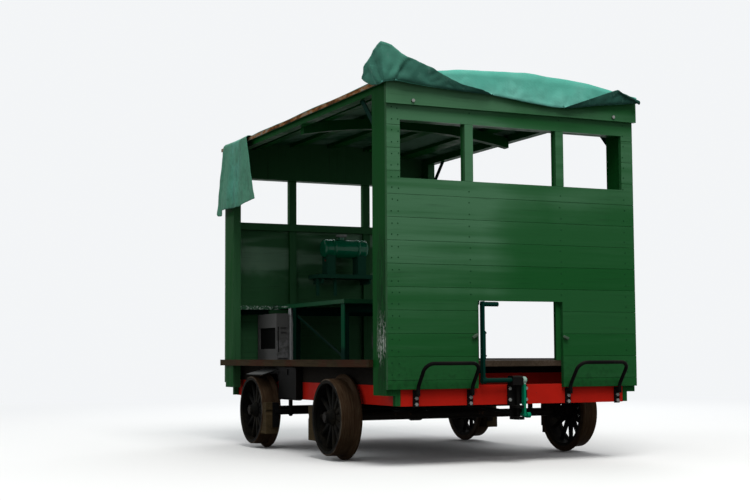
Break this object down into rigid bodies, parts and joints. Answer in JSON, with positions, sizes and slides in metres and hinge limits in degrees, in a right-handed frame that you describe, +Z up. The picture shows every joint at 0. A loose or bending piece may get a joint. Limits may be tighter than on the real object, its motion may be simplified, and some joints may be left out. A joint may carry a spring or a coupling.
{
  "type": "railway inspection trolley",
  "caption": "Four-wheeled railway trolley with a red channel frame, open-sided timber cab, curved roof under a tarpaulin, bench over its engine, spoked wheels and hand brake.",
  "frame": {"origin": "midway between the axles and between the wheels, on the level of the flange tips", "axes": "+X forward to the end with the hand brake, +Y to the trolley's left, +Z up"},
  "size_m": [2.706, 1.604, 2.105],
  "materials": {
    "red_steel": "gloss red paint",
    "green_boards": "gloss mid-green paint on boards",
    "green_timber": "gloss mid-green paint on sawn timber",
    "dark_timber": "dark stained timber",
    "deck_wood": "worn brown boards",
    "kerb_wood": "weathered brown-red board",
    "roof_board": "weathered boards under roofing felt",
    "bench_wood": "gloss green paint, worn",
    "black_steel": "black paint",
    "wheel_iron": "black paint, tread rusted brown and rubbed",
    "axle_steel": "oily black",
    "teal_steel": "bright teal-green gloss paint",
    "grey_steel": "grey paint",
    "guard_steel": "bare grey sheet",
    "engine_metal": "oily cast iron and aluminium",
    "tank_steel": "dark teal gloss",
    "block_wood": "oak brake blocks",
    "sheet_cloth": "mint green coated tarpaulin"
  },
  "bodies": {
    "frame": {"axleboxes": "black_steel", "bench_boards": "bench_wood", "bench_frames": "teal_steel", "brake_beams": "black_steel", "brake_blocks": "block_wood", "brake_lever": "teal_steel", "brake_rods": "teal_steel", "chain_case": "black_steel", "cross_members": "red_steel", "deck_bearers": "dark_timber", "deck_boards": "deck_wood", "deck_kerbs": "kerb_wood", "engine": "engine_metal", "front_bump_loops": "black_steel", "front_coupling": "black_steel", "front_fascia": "green_boards", "front_headstock": "red_steel", "front_wall_boards": "green_boards", "front_wall_frame": "green_timber", "fuel_tank": "tank_steel", "rear_bump_loops": "black_steel", "rear_coupling": "black_steel", "rear_fascia": "green_boards", "rear_headstock": "red_steel", "rear_locker": "grey_steel", "rear_wall_boards": "green_boards", "rear_wall_frame": "green_timber", "rear_wheel_guards": "guard_steel", "roof_braces": "teal_steel", "roof_frame": "green_timber", "roof_sheet": "roof_board", "roof_side_rails": "green_timber", "side_box": "black_steel", "solebars": "red_steel", "tank_shelf": "teal_steel", "tarpaulin": "sheet_cloth"},
    "front_wheelset": {"front_axle": "axle_steel", "front_left_wheel": "wheel_iron", "front_right_wheel": "wheel_iron"},
    "rear_wheelset": {"rear_axle": "axle_steel", "rear_left_wheel": "wheel_iron", "rear_right_wheel": "wheel_iron"}
  },
  "joints": [
    {"name": "front_axle_turn", "type": "hinge", "parent": "frame", "child": "front_wheelset", "pos_m": [0.5915, 0, 0.228], "axis": [0, 1, 0], "continuous": true},
    {"name": "rear_axle_turn", "type": "hinge", "parent": "frame", "child": "rear_wheelset", "pos_m": [-0.5915, 0, 0.228], "axis": [0, 1, 0], "continuous": true}
  ]
}
